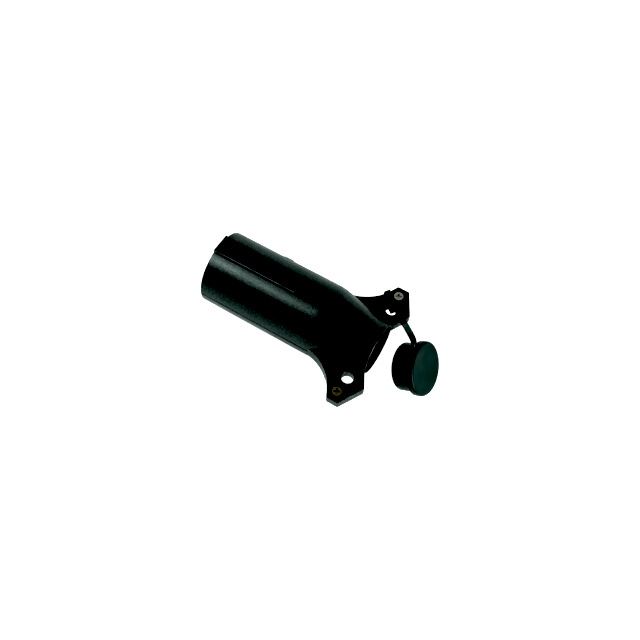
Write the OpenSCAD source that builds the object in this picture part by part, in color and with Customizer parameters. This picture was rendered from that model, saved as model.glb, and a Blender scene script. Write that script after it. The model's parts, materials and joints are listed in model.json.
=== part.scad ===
// Straight adapter for trailer lights: a keyed seven-blade plug barrel at one end, a four-pin round
// socket at the other, two ears that carry the screws, and a rubber dust plug on a tether.
// X runs along the barrel from the plug's mating face to the socket mouth, Z is square to the ears,
// and the key is on top. Everything is in millimetres.

/* [Barrel] */
// Outside diameter of the plug barrel
barrel_d = 45; // [44.6:0.1:45.4]
// Length of the parallel barrel, from the mating face to the shoulder
barrel_len = 74; // [72:0.5:75]
// Wall of the housing
wall = 2.3; // [2:0.1:2.5]
// Width of the key on top of the barrel
key_w = 12.6; // [11:0.1:14]
// Height of the key's flat top above the barrel's axis
key_top = 24.3; // [23.8:0.1:24.8]
// Length of the key before it ramps down
key_len = 54.5; // [50:0.5:58]
// Length of the ramp at the key's inner end
key_ramp = 4.5; // [3:0.5:6]

/* [Neck and socket] */
// Whole length from the mating face to the socket mouth
housing_len = 107.5; // [107:0.1:108]
// Place where the neck's cone meets the collar
collar_x = 98; // [97:0.5:99]
// Diameter of the collar where the cone meets it
collar_d = 33; // [32.6:0.1:33.4]
// Outside diameter of the lip at the socket mouth
lip_d = 31.7; // [31.5:0.1:32.2]
// Bore of the socket
socket_d = 28.4; // [28.2:0.1:28.6]
// Bore of the short lead-in at the mouth
mouth_d = 29.2; // [29:0.1:29.4]
// Length of the lead-in
mouth_len = 4; // [3:0.5:4.5]

/* [Ears] */
// Thickness of an ear through both half shells
ear_t = 5.7; // [5.2:0.1:6]
// Distance of an ear's tip from the axis
ear_reach = 42.5; // [42:0.1:44]
// Centre of the through hole: distance from the mating face and from the axis
hole_x = 101.9; // [101.6:0.1:102.2]
hole_y = 26; // [25.8:0.1:26.4]
// Diameter of the through hole
hole_d = 6.9; // [6.8:0.1:7]
// Radius of the concave edge behind each ear
flank_r = 28.4; // [28:0.1:28.6]
// Centre of the shell screw: distance from the mating face and from the axis
screw_x = 101.1; // [100.6:0.1:101.4]
screw_y = 36.5; // [36:0.1:37]
// Diameter of the screw head
head_d = 5.6; // [5:0.1:6]

/* [Inserts] */
// Radius of the circle that the six blade contacts stand on
blade_ring_r = 13.4; // [13.2:0.1:13.6]
// Width of a blade contact
blade_w = 7.6; // [7:0.1:7.8]
// Radius of the circle that the four socket pins stand on
pin_ring_r = 7; // [6.8:0.1:7.4]
// Diameter of a socket pin
pin_d = 4.6; // [4.4:0.1:4.8]
// Outside diameter of an insulated wire
wire_d = 3; // [2.6:0.1:3.2]

/* [Tether and dust plug] */
// Width and thickness of the tether strap
strap_w = 3.8; // [3.4:0.1:4]
strap_t = 1.5; // [1.3:0.1:1.6]
// Diameter of the dust plug's flange
flange_d = 31.7; // [31:0.1:32]
// Thickness of the flange
flange_t = 4.7; // [4.4:0.1:5]
// Diameter of the hollow body that goes into the socket
plug_d = 27.9; // [27.6:0.1:28]
// Whole length of the dust plug
plug_len = 15.2; // [14.5:0.1:15.4]
// Wall of the hollow body
plug_wall = 2.3; // [2:0.1:2.6]

/* [Hidden] */
$fn = 96;
BLADES = 6;
PINS = 4;
CONTACT_NAMES = [for (i = [1:BLADES]) str("blade_contact_", i)];
PIN_NAMES = [for (i = [1:PINS]) str("socket_pin_", i)];
WIRE_NAMES = ["wire_ground", "wire_tail_lights", "wire_left_turn", "wire_right_turn"];

gap = 0.1;                      // room between parts that are fitted together
seam = 0.02;                    // half the gap between the half shells
barrel_r = barrel_d / 2;
half_ear = ear_t / 2;
cavity_r = barrel_r - wall;

// Places along X of the inserts and of what they hold
carrier_x = [2, 30];            // blade carrier
carrier_rib_x = [24.2, 26.8];   // its retaining rib
window_t = 1.2;                 // web in front of each contact
pins_x = [80, 90];              // pin carrier
pins_rib_x = [83.2, 85.8];
pin_tip_x = 102.4;

// Radii inside the housing
rib_groove_r = cavity_r + 1;    // groove for the blade carrier's rib
pin_seat_r = socket_d / 2 + 0.8;
pin_groove_r = socket_d / 2 + 2.2;
index_half = 1.2;               // half the width of an index rib or groove
turn_room = 0.15;               // room beside an index rib
over = 1;                       // how far a cutter reaches past what it cuts

// Contacts
crimp_len = 6.5;                // crimp barrel at the back of a contact or pin
crimp_r = 1.75;
core_r = 1.15;                  // bare wire inside a crimp
blade_crimp_x = 31;
shoulder_t = 1.4;               // shoulder behind a socket pin
pin_crimp_x = pins_x[0] - shoulder_t - crimp_len;
contact_x = carrier_x[0] + window_t + 0.2;   // front of every contact
leaf_end = 19;                  // where a blade contact's two leaves meet their web
leaf_t = 0.6;
leaf_side = 1.15;               // middle of a leaf, from the contact's middle
web_t = 0.9;
tail_half = 2;                  // half the width of a contact's flat tail
blade_angles = [for (i = [0:BLADES - 1]) 30 + 60 * i];
pin_angles = [45, 135, 225, 315];
wired_blades = [1, 3, 5, 6];    // blade number that each wire comes from: ground, tail, left, right

// Ear outline, for the ear on the +Y side
flank_c = [70, 50.4];
flank_end = -29.5;
ear_tip = [[97.75, ear_reach], [105.2, ear_reach], [113.4, 27.5], [housing_len - 0.2, lip_d / 2 + 0.2]];
ear_root_x = 66;
deep_wall = [2.2, 5];           // width and depth of the wall under the concave edge
deep_wall_x = [72, 90];
boss_r = 3.3;
boss_z = -5;

// Shell screws
sink = 1.35;                    // depth of the countersink
shank_r = 1.3;
thread_r = 1.35;                // screw hole in the lower shell
free_r = 1.55;                  // and in the upper shell
screw_hole_z = -4.9;
shank_end = -7.4;               // below the ear's top
recess = [3.2, 0.7, 1];         // length, width and depth of one slot of the cross
recess_turn = 25;

// Lugs and index ribs
lug_x = [32.6, 38.6];
lug_half = 1.3;
lug_height = 0.4;
lug_angle = 60;

// Tether: a frame at the +Y hole, with its x along the strap
tether_yaw = -37.4;
strap_side = 2.6;               // the strap's middle lies this far to the side of the hole
strap_z = half_ear + 0.25 + strap_t / 2;
along = [cos(tether_yaw), sin(tether_yaw), 0];
across = [-sin(tether_yaw), cos(tether_yaw), 0];
hinge_room = 0.9;               // from each strap end to the bend's axis
bar_r = 0.7;                    // round bar on a bend's axis
neck_t = 0.8;                   // thin web that carries the bar
strap_flat = 7.3;               // straight stretch past the first bend
post_x = [-0.6, 0.6];           // post through the ear's hole
post_y = [1.9, 3.1];
hole_c = [hole_x, hole_y, 0];
lift_at = hole_c + across * strap_side + along * hinge_room + [0, 0, strap_z];
arch_start = lift_at + along * strap_flat;

// Dust plug: its own x runs out of the flange's face
plug_at = [136.4, 4.8, -2.3];
plug_pitch = 31.2;
plug_yaw = 4.8;
tab_angle = 15;                 // where the strap meets the flange, from the plug's own top
tab_x = -3;
plug_x = [cos(plug_pitch) * cos(plug_yaw), cos(plug_pitch) * sin(plug_yaw), sin(plug_pitch)];
plug_y = [-sin(plug_yaw), cos(plug_yaw), 0];
plug_z = cross(plug_x, plug_y);
tab_out = sin(tab_angle) * plug_y + cos(tab_angle) * plug_z;
tab_side = cos(tab_angle) * plug_y - sin(tab_angle) * plug_z;
flex_r = flange_d / 2 + 1.2;
flex_at = plug_at + plug_x * tab_x + tab_out * flex_r;
arch_pull = [22, 20];           // how far each end of the arch holds its own direction
bend_t = 0.45;                  // place of the middle bend along the arch
arch_steps = 8;
arch_tick = 0.001;              // small step along the arch, for its direction
floor_t = 0.4;                  // plug's floor behind the flange

// ---- geometry helpers ----

function unit(v) = v / norm(v);
function wrap(a) = a > 180 ? a - 360 : a < -180 ? a + 360 : a;

// Points of the arc that rounds corner b, between neighbours a and c
function fillet(a, b, c, r, n = 6) =
    let (u = unit(a - b), v = unit(c - b), half = acos(u * v) / 2,
         m = b + unit(u + v) * r / sin(half),
         s = b + u * r / tan(half) - m, e = b + v * r / tan(half) - m,
         s_ang = atan2(s[1], s[0]), sweep = wrap(atan2(e[1], e[0]) - s_ang))
    [for (i = [0:n]) m + r * [cos(s_ang + sweep * i / n), sin(s_ang + sweep * i / n)]];

// A path whose corner i is rounded to radii[i], or left sharp at 0
function rounded(path, radii) =
    [for (i = [0:len(path) - 1]) each radii[i] == 0 ? [path[i]] :
        fillet(path[(i + len(path) - 1) % len(path)], path[i], path[(i + 1) % len(path)], radii[i])];

// The arch of the strap: from flat on the ear to straight down into the flange
function arch(t) =
    (2 * pow(t, 3) - 3 * t * t + 1) * arch_start + (pow(t, 3) - 2 * t * t + t) * arch_pull[0] * along
    + (3 * t * t - 2 * pow(t, 3)) * flex_at - (pow(t, 3) - t * t) * arch_pull[1] * tab_out;
function arch_dir(t) = unit(arch(t + arch_tick) - arch(t - arch_tick));
// Step of t that makes the room a bend needs, at t
function arch_room(t) = hinge_room * 2 * arch_tick / norm(arch(t + arch_tick) - arch(t - arch_tick));
function arch_side(t) =
    let (w = across * (1 - t) + tab_side * t, d = arch_dir(t)) unit(w - d * (w * d));

// Four corners of the strap's section at a point, with its direction and side given
function strap_ring(p, d, w) =
    let (n = cross(d, w))
    [for (c = [[1, 1], [-1, 1], [-1, -1], [1, -1]]) p + w * c[0] * strap_w / 2 + n * c[1] * strap_t / 2];
function arch_ring(t) = strap_ring(arch(t), arch_dir(t), arch_side(t));

// A solid through rings of the same number of points
module skin(rings) {
    n = len(rings[0]);
    last = len(rings) - 1;
    polyhedron(points = [for (r = rings) each r],
               faces = concat([[for (i = [0:n - 1]) i]], [[for (i = [n - 1:-1:0]) last * n + i]],
                              [for (k = [0:last - 1]) for (i = [0:n - 1])
                                  let (j = (i + 1) % n) each [[k * n + j, k * n + i, (k + 1) * n + i],
                                                              [k * n + j, (k + 1) * n + i, (k + 1) * n + j]]]));
}

// Children in a frame with origin o and axes x and y
module in_frame(o, x, y) {
    z = cross(x, y);
    multmatrix([[x[0], y[0], z[0], o[0]], [x[1], y[1], z[1], o[1]], [x[2], y[2], z[2], o[2]], [0, 0, 0, 1]])
        children();
}

module rod_x(r, span, y = 0, z = 0) {
    translate([span[0], y, z]) rotate([0, 90, 0]) cylinder(r = r, h = span[1] - span[0]);
}

// A solid turned about X from points [radius, x]
module turned(profile) {
    rotate([0, 90, 0]) rotate_extrude() polygon(profile);
}

module block(x, y, z) {
    translate([x[0], y[0], z[0]]) cube([x[1] - x[0], y[1] - y[0], z[1] - z[0]]);
}

module both_sides() {
    children();
    mirror([0, 1, 0]) children();
}

// ---- housing ----

module housing_outside() {
    lip_r = lip_d / 2;
    turned(rounded([[0, 0], [barrel_r, 0], [barrel_r, barrel_len], [collar_d / 2 + 0.6, collar_x - 1.5],
                    [collar_d / 2 - 0.5, collar_x + 2.5], [lip_r, housing_len], [0, housing_len]],
                   [0, 0.5, 30, 6, 12, 0.8, 0]));
}

function ear_outline(depth = 0) = rounded(
    concat([[ear_root_x, 0]],
           [for (i = [0:16]) flank_c + (flank_r + depth) * [cos(-90 + (flank_end + 90) * i / 16),
                                                  sin(-90 + (flank_end + 90) * i / 16)]],
           ear_tip, [[housing_len - 0.2, 0]]),
    concat([for (i = [0:17]) 0], [1.2, 1.2, 1.6, 0, 0]));

module ears(z) {
    both_sides() translate([0, 0, z[0]]) linear_extrude(z[1] - z[0]) polygon(ear_outline());
}

// The wall under each concave edge, deeper than the ear itself
module flank_walls() {
    both_sides() intersection() {
        translate([0, 0, -deep_wall[1]]) linear_extrude(deep_wall[1]) polygon(ear_outline());
        translate([flank_c[0], flank_c[1], -deep_wall[1]]) cylinder(r = flank_r + deep_wall[0], h = deep_wall[1]);
        block(deep_wall_x, [barrel_r / 2, ear_reach], [-deep_wall[1] - over, 0]);
    }
}

module key() {
    rotate([90, 0, 0]) translate([0, 0, -key_w / 2]) linear_extrude(key_w)
        polygon([[0.3, 0], [0.3, key_top - 0.4], [0.7, key_top], [key_len, key_top],
                 [key_len + key_ramp, barrel_r - 0.4], [key_len + key_ramp, 0]]);
}

// Two low lugs high on the barrel's sides
module lugs() {
    for (side = [-1, 1])
        rotate([-lug_angle * side, 0, 0]) block(lug_x, [-lug_half, lug_half], [barrel_r - over, barrel_r + lug_height]);
}

module cavity() {
    neck_r = lip_d / 2 + 1.5;
    seat_x = pins_x[0] - 0.6;
    bore_r = socket_d / 2;
    turned([[0, -over], [cavity_r, -over], [cavity_r, carrier_rib_x[0] - gap], [rib_groove_r, carrier_rib_x[0] - gap],
            [rib_groove_r, carrier_rib_x[1] + gap], [cavity_r, carrier_rib_x[1] + gap],
            [cavity_r, barrel_len - 1], [neck_r, seat_x], [pin_seat_r, seat_x],
            [pin_seat_r, pins_rib_x[0] - gap], [pin_groove_r, pins_rib_x[0] - gap],
            [pin_groove_r, pins_rib_x[1] + gap], [pin_seat_r, pins_rib_x[1] + gap],
            [pin_seat_r, pins_x[1] + gap], [bore_r, pins_x[1] + gap],
            [bore_r, housing_len - mouth_len], [mouth_d / 2, housing_len - mouth_len],
            [mouth_d / 2, housing_len + over], [0, housing_len + over]]);
}

module screw_hole(y) {
    seat_r = head_d / 2 + gap;
    translate([screw_x, y, 0]) {
        translate([0, 0, screw_hole_z]) cylinder(r = thread_r, h = half_ear - screw_hole_z - sink);
        cylinder(r = free_r, h = half_ear);
        translate([0, 0, half_ear - sink]) cylinder(r1 = free_r, r2 = seat_r, h = sink + 0.01);
        translate([0, 0, half_ear]) cylinder(r = seat_r, h = over);
    }
}

module housing() {
    difference() {
        union() {
            housing_outside();
            ears([-half_ear, half_ear]);
            flank_walls();
            key();
            lugs();
            for (side = [-1, 1])
                translate([screw_x, side * screw_y, boss_z]) cylinder(r = boss_r, h = -boss_z);
        }
        cavity();
        for (side = [-1, 1]) {
            translate([hole_x, side * hole_y, -ear_t]) cylinder(r = hole_d / 2, h = 2 * ear_t);
            screw_hole(side * screw_y);
        }
        // index groove for the trailer's plug, at the top of the socket
        block([pins_x[1] + gap, housing_len + over], [-index_half, index_half],
              [socket_d / 2 - over, socket_d / 2 + 0.7]);
    }
    // ribs that stop the two inserts from turning
    block([carrier_x[0] + 1, carrier_rib_x[0] - 1], [-index_half, index_half], [cavity_r - 1, cavity_r + 0.5]);
    block([pins_x[0] + 0.4, pins_rib_x[0] - 0.4], [-index_half + turn_room, index_half - turn_room],
          [-pin_seat_r - 0.6, -pin_seat_r + 0.9]);
}

// Children cut down to one side of the parting plane, up = 1 or -1
module half(up) {
    intersection() {
        children();
        block([-over, housing_len + barrel_r], [-ear_reach - over, ear_reach + over],
              up > 0 ? [seam, key_top + over] : [-barrel_r - over, -seam]);
    }
}

module upper_shell() {
    color("#17191a") half(1) housing();
}

module lower_shell() {
    color("#131516") half(-1) housing();
}

// Countersunk screws with a cross recess
module shell_screws() {
    color("#c9c7bd") for (side = [-1, 1])
        translate([screw_x, side * screw_y, half_ear]) difference() {
            union() {
                translate([0, 0, -sink]) cylinder(r1 = shank_r + gap, r2 = head_d / 2, h = sink);
                translate([0, 0, shank_end]) cylinder(r = shank_r, h = -shank_end - sink + gap);
            }
            for (turn = [0, 90])
                rotate([0, 0, recess_turn + turn])
                    block([-recess[0] / 2, recess[0] / 2], [-recess[1] / 2, recess[1] / 2], [-recess[2], over]);
        }
}

// ---- seven-blade end ----

module blade_carrier() {
    r = cavity_r - gap;
    edge = 0.6;
    pocket = [8, 3.1];          // width and height of a contact's pocket
    window = 2;                 // height of the window that a blade comes through
    bore_r = 3.3;
    face_hole_r = 2.4;
    color("#2a2c2e") difference() {
        union() {
            turned([[0, carrier_x[0]], [r - edge, carrier_x[0]], [r, carrier_x[0] + edge], [r, carrier_x[1]],
                    [0, carrier_x[1]]]);
            rod_x(rib_groove_r - 2 * gap, carrier_rib_x);
        }
        for (a = blade_angles) rotate([a, 0, 0]) {
            block([carrier_x[0] + window_t, carrier_x[1] + over], [-pocket[0] / 2, pocket[0] / 2],
                  [blade_ring_r - pocket[1] / 2, blade_ring_r + pocket[1] / 2]);
            block([carrier_x[0] - over, carrier_x[0] + 2], [-pocket[0] / 2, pocket[0] / 2],
                  [blade_ring_r - window / 2, blade_ring_r + window / 2]);
        }
        rod_x(bore_r, [carrier_x[0] + window_t, carrier_x[1] + over]);
        rod_x(face_hole_r, [carrier_x[0] - over, carrier_x[0] + 2]);
        block([carrier_x[0] - over, carrier_rib_x[0] - 0.5], [-index_half - turn_room, index_half + turn_room],
              [cavity_r - 1.2, cavity_r + over]);
    }
}

// A crimp barrel that opens towards dir (1 = +X, -1 = -X)
module crimp(x, dir) {
    difference() {
        rod_x(crimp_r, [x, x + crimp_len]);
        rod_x(core_r + 0.05, dir > 0 ? [x + 1, x + crimp_len + over] : [x - over, x + crimp_len - 1]);
    }
}

// A folded spring contact: two leaves, a web, a tail and a crimp barrel
module blade_contact(i) {
    half_w = blade_w / 2;
    web_z = leaf_side + leaf_t / 2;
    color("#c79a3e") rotate([blade_angles[i], 0, 0]) translate([0, 0, blade_ring_r]) {
        for (side = [-1, 1])
            block([contact_x, leaf_end], [-half_w, half_w],
                  [side * leaf_side - leaf_t / 2, side * leaf_side + leaf_t / 2]);
        block([leaf_end - gap, leaf_end + web_t], [-half_w, half_w], [-web_z, web_z]);
        tail([leaf_end, blade_crimp_x + 0.5]);
        crimp(blade_crimp_x, 1);
    }
}

// The flat piece between a contact and its crimp barrel
module tail(span) {
    block(span, [-tail_half, tail_half], [-web_t / 2, web_t / 2]);
}

module centre_contact() {
    tube_r = 3.1;
    tube_end = 24;
    floor_x = 20;
    bore_r = 2.1;
    color("#c79a3e") {
        difference() {
            rod_x(tube_r, [contact_x, tube_end]);
            rod_x(bore_r, [contact_x - over, floor_x]);
        }
        tail([tube_end - 0.5, blade_crimp_x + 0.5]);
        crimp(blade_crimp_x, 1);
    }
}

// ---- four-pin end ----

module pin_carrier() {
    r = pin_seat_r - gap;
    hole_r = pin_d / 2 + 0.03;
    color("#2a2c2e") difference() {
        union() {
            rod_x(r, pins_x);
            rod_x(pin_groove_r - 2 * gap, pins_rib_x);
        }
        for (a = pin_angles) rotate([a, 0, 0]) rod_x(hole_r, [pins_x[0] - over, pins_x[1] + over], 0, pin_ring_r);
        block([pins_x[0] - over, pins_rib_x[0]], [-index_half, index_half], [-r - over, -r + 1]);
    }
}

// A split pin with a shoulder behind the carrier and a crimp barrel
module socket_pin(i) {
    nose = 0.9;
    slot = [0.6, 12.4];         // width, and length from the tip
    back = pins_x[0] - gap;
    color("#d0a64a") rotate([pin_angles[i], 0, 0]) translate([0, 0, pin_ring_r]) {
        difference() {
            union() {
                rod_x(pin_d / 2, [back, pin_tip_x - nose]);
                turned([[0, pin_tip_x - nose - gap], [pin_d / 2, pin_tip_x - nose - gap],
                        [pin_d / 2 - nose, pin_tip_x], [0, pin_tip_x]]);
            }
            block([pin_tip_x - slot[1], pin_tip_x + over], [-slot[0] / 2, slot[0] / 2], [-pin_d, pin_d]);
        }
        rod_x(pin_d / 2 + 0.7, [back - shoulder_t, back]);
        crimp(pin_crimp_x, -1);
    }
}

// ---- wires inside the barrel ----

// Place on a ring of radius r at angle a, seen along X
function ring_place(r, a) = [-r * sin(a), r * cos(a)];

module wire(i, shade) {
    start = ring_place(blade_ring_r, blade_angles[wired_blades[i] - 1]);
    end = ring_place(pin_ring_r, pin_angles[i]);
    bare = 0.2;                 // from a crimp barrel to the insulation
    core_in = 0.5;              // how far the core runs on inside the insulation
    core_stop = 1.5;            // from the core's end to the crimp barrel's closed end
    steps = 14;
    sides = 12;
    x0 = blade_crimp_x + crimp_len + bare;
    x1 = pin_crimp_x - bare;
    color(shade) {
        rod_x(core_r, [blade_crimp_x + core_stop, x0 + core_in], start[0], start[1]);
        rod_x(core_r, [x1 - core_in, pin_crimp_x + crimp_len - core_stop], end[0], end[1]);
        skin([for (k = [0:steps])
            let (t = k / steps, at = start + (end - start) * t * t * (3 - 2 * t))
            [for (j = [0:sides - 1])
                [x0 + (x1 - x0) * t, at[0] + wire_d / 2 * cos(360 * j / sides),
                 at[1] + wire_d / 2 * sin(360 * j / sides)]]]);
    }
}

// ---- tether and dust plug ----

// The neck at a bend: a thin web and a round bar on the bend's axis, carried by the piece behind it
module bend_neck() {
    translate([0, strap_w / 2, 0]) rotate([90, 0, 0]) cylinder(r = bar_r, h = strap_w, $fn = 24);
    block([-hinge_room - 0.2, 0], [-strap_w / 2, strap_w / 2], [-neck_t / 2, neck_t / 2]);
}

module tether_loop() {
    ear_edge = flank_r - norm([flank_c[0] - hole_x, flank_c[1] - hole_y]);   // concave edge, from the hole
    back = ear_edge - 0.55 - strap_t;
    top = strap_z + strap_t / 2;
    room = top - strap_t;
    tail_x = -0.2;              // end of the strap under the ear
    corner = 2;
    color("#101213") {
        translate(hole_c) rotate([0, 0, tether_yaw]) {
            translate([0, strap_side + strap_w / 2, 0]) rotate([90, 0, 0]) linear_extrude(strap_w)
                difference() {
                    polygon(rounded([[back, -top], [tail_x, -top], [tail_x, 0], [0, 0], [0, top], [back, top]],
                                    [corner, 0, 0, 0, 0, corner]));
                    polygon([[back + strap_t, -room], [over, -room], [over, room], [back + strap_t, room]]);
                }
            block(post_x, post_y, [-top + gap, top - gap]);
        }
        in_frame(lift_at, along, across) bend_neck();
    }
}

module tether_inner() {
    stop_t = bend_t - arch_room(bend_t);
    color("#101213") {
        skin(concat([strap_ring(lift_at + along * hinge_room, along, across)],
                    [for (k = [0:arch_steps]) arch_ring(stop_t * k / arch_steps)]));
        in_frame(arch(bend_t), arch_dir(bend_t), arch_side(bend_t)) bend_neck();
    }
}

module tether_outer() {
    start_t = bend_t + arch_room(bend_t);
    stop_t = 1 - arch_room(1);
    color("#101213") {
        skin([for (k = [0:arch_steps]) arch_ring(start_t + (stop_t - start_t) * k / arch_steps)]);
        in_frame(flex_at, -tab_out, tab_side) bend_neck();
    }
}

module dust_plug() {
    flange_r = flange_d / 2;
    body_r = plug_d / 2;
    floor_x = -flange_t - floor_t;
    color("#0e1011") translate(plug_at) rotate([0, -plug_pitch, plug_yaw]) {
        turned(rounded([[0, 0], [flange_r, 0], [flange_r, -flange_t], [body_r, -flange_t], [body_r, -plug_len],
                        [body_r - plug_wall, -plug_len], [body_r - plug_wall, floor_x], [0, floor_x]],
                       [0, 1.2, 0.6, 0, 0.9, 0.5, 0, 0]));
        // tab that the strap is moulded to
        rotate([-tab_angle, 0, 0])
            block([tab_x - strap_t / 2, tab_x + strap_t / 2], [-strap_w / 2, strap_w / 2],
                  [flange_r - over, flex_r - hinge_room]);
    }
}

upper_shell();
lower_shell();
shell_screws();
blade_carrier();
centre_contact();
pin_carrier();
tether_loop();
tether_inner();
tether_outer();
dust_plug();
for (i = [0:BLADES - 1])
    blade_contact(i);
for (i = [0:PINS - 1])
    socket_pin(i);
wire(0, "#e6e4dc");  // wire_ground
wire(1, "#5a3a22");  // wire_tail_lights
wire(2, "#e3c21c");  // wire_left_turn
wire(3, "#1f7a3a");  // wire_right_turn
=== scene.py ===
import json
import math

import bmesh
import bpy
from mathutils import Matrix, Vector


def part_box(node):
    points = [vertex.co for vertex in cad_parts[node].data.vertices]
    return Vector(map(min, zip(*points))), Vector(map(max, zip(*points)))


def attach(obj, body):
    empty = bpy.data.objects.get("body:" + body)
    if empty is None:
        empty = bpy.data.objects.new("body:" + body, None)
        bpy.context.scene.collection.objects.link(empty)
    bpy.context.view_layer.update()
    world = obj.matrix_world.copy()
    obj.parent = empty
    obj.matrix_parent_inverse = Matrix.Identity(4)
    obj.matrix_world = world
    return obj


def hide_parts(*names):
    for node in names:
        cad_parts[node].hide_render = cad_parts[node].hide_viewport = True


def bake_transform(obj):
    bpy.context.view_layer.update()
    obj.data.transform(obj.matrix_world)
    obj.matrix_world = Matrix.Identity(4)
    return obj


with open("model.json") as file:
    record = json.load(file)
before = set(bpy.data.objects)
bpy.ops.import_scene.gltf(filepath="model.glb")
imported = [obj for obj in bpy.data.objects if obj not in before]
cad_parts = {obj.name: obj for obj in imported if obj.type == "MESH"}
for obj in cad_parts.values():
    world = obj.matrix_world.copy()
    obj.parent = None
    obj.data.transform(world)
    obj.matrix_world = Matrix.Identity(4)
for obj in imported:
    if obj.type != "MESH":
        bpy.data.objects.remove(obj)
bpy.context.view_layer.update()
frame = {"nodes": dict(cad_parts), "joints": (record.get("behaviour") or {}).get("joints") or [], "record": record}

mm = 0.001
circleSteps = 128
mounts = {mount["name"]: mount for mount in frame["record"]["mounts"]}
joints = {joint["name"]: joint for joint in frame["joints"]}


def nodeBox(node):
    low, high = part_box(node)
    return low / mm, high / mm


def jointPlace(name):
    return Vector(joints[name]["pos_m"]) / mm


def jointAxis(name):
    return Vector(joints[name]["axis"]).normalized()


# ---- materials ----

def linearColour(hexText):
    channels = [int(hexText[k:k + 2], 16) / 255 for k in (1, 3, 5)]
    return tuple(c / 12.92 if c <= 0.04045 else ((c + 0.055) / 1.055) ** 2.4 for c in channels) + (1.0,)


def addNode(tree, kind, settings=None, links=None):
    node = tree.nodes.new(kind)
    for name, value in (settings or {}).items():
        if isinstance(name, int) or name in node.inputs:
            node.inputs[name].default_value = value
        else:
            setattr(node, name, value)
    for name, source in (links or {}).items():
        tree.links.new(source, node.inputs[name])
    return node


def newMaterial(name, finish):
    material = bpy.data.materials.new(name)
    material.use_nodes = True
    shader = material.node_tree.nodes["Principled BSDF"]
    for socket, value in finish.items():
        shader.inputs[socket].default_value = value
    return material, material.node_tree, shader


def mottle(tree, shader, place, grainMm, low, high):
    # a roughness that wanders between two values over patches of the given size
    noise = addNode(tree, "ShaderNodeTexNoise", {"Scale": 1 / (grainMm * mm), "Detail": 3.0},
                    {"Vector": place})
    span = addNode(tree, "ShaderNodeMapRange",
                   {"From Min": 0.3, "From Max": 0.7, "To Min": low, "To Max": high},
                   {0: noise.outputs["Fac"]})
    tree.links.new(span.outputs["Result"], shader.inputs["Roughness"])
    return noise


def tintBetween(tree, shader, factor, first, second):
    mix = addNode(tree, "ShaderNodeMix",
                  {"data_type": "RGBA", 6: linearColour(first), 7: linearColour(second)}, {0: factor})
    tree.links.new(mix.outputs[2], shader.inputs["Base Color"])


def bumpChain(tree, shader, layers):
    # layers of (height output, depth in mm, strength), each laid over the one before
    previous = None
    for height, depthMm, strength in layers:
        links = {"Height": height}
        if previous:
            links["Normal"] = previous
        bump = addNode(tree, "ShaderNodeBump", {"Strength": strength, "Distance": depthMm * mm}, links)
        previous = bump.outputs["Normal"]
    tree.links.new(previous, shader.inputs["Normal"])


def sparkErodedNylon(name, dark, light):
    # glass-filled nylon moulded in a spark-eroded tool: deep black, a fine pebble that breaks highlights up
    grain = {"pebbleMm": 0.5, "pebbleDepthMm": 0.07,    # real pebble is 0.1 mm, drawn coarser to show
             "flowMm": 14, "roughness": (0.32, 0.4), "shine": (0.16, 0.68)}
    material, tree, shader = newMaterial(name, {"IOR": 1.5})
    place = addNode(tree, "ShaderNodeTexCoord").outputs["Object"]
    pebble = addNode(tree, "ShaderNodeTexNoise",
                     {"Scale": 1 / (grain["pebbleMm"] * mm), "Detail": 4.0, "Roughness": 0.62},
                     {"Vector": place})
    flow = mottle(tree, shader, place, grain["flowMm"], *grain["roughness"])
    shine = addNode(tree, "ShaderNodeMapRange",
                    {"From Min": 0.36, "From Max": 0.64, "To Min": grain["shine"][0],
                     "To Max": grain["shine"][1]}, {0: pebble.outputs["Fac"]})
    tree.links.new(shine.outputs["Result"], shader.inputs["Specular IOR Level"])
    tintBetween(tree, shader, flow.outputs["Fac"], dark, light)
    bumpChain(tree, shader, [(pebble.outputs["Fac"], grain["pebbleDepthMm"], 1.0)])
    return material


def mouldedRubber(name, dark, light, roughness, sheen):
    # EPDM rubber out of a polished mould: matte, with a faint grey bloom that gathers in soft patches
    bloom = {"patchMm": 9, "skinMm": 0.4, "skinDepthMm": 0.02}
    material, tree, shader = newMaterial(name, {"IOR": 1.52, "Specular IOR Level": sheen})
    place = addNode(tree, "ShaderNodeTexCoord").outputs["Object"]
    patch = mottle(tree, shader, place, bloom["patchMm"], roughness - 0.05, roughness + 0.06)
    tintBetween(tree, shader, patch.outputs["Fac"], dark, light)
    skin = addNode(tree, "ShaderNodeTexNoise",
                   {"Scale": 1 / (bloom["skinMm"] * mm), "Detail": 3.0}, {"Vector": place})
    bumpChain(tree, shader, [(skin.outputs["Fac"], bloom["skinDepthMm"], 0.25)])
    return material


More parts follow.
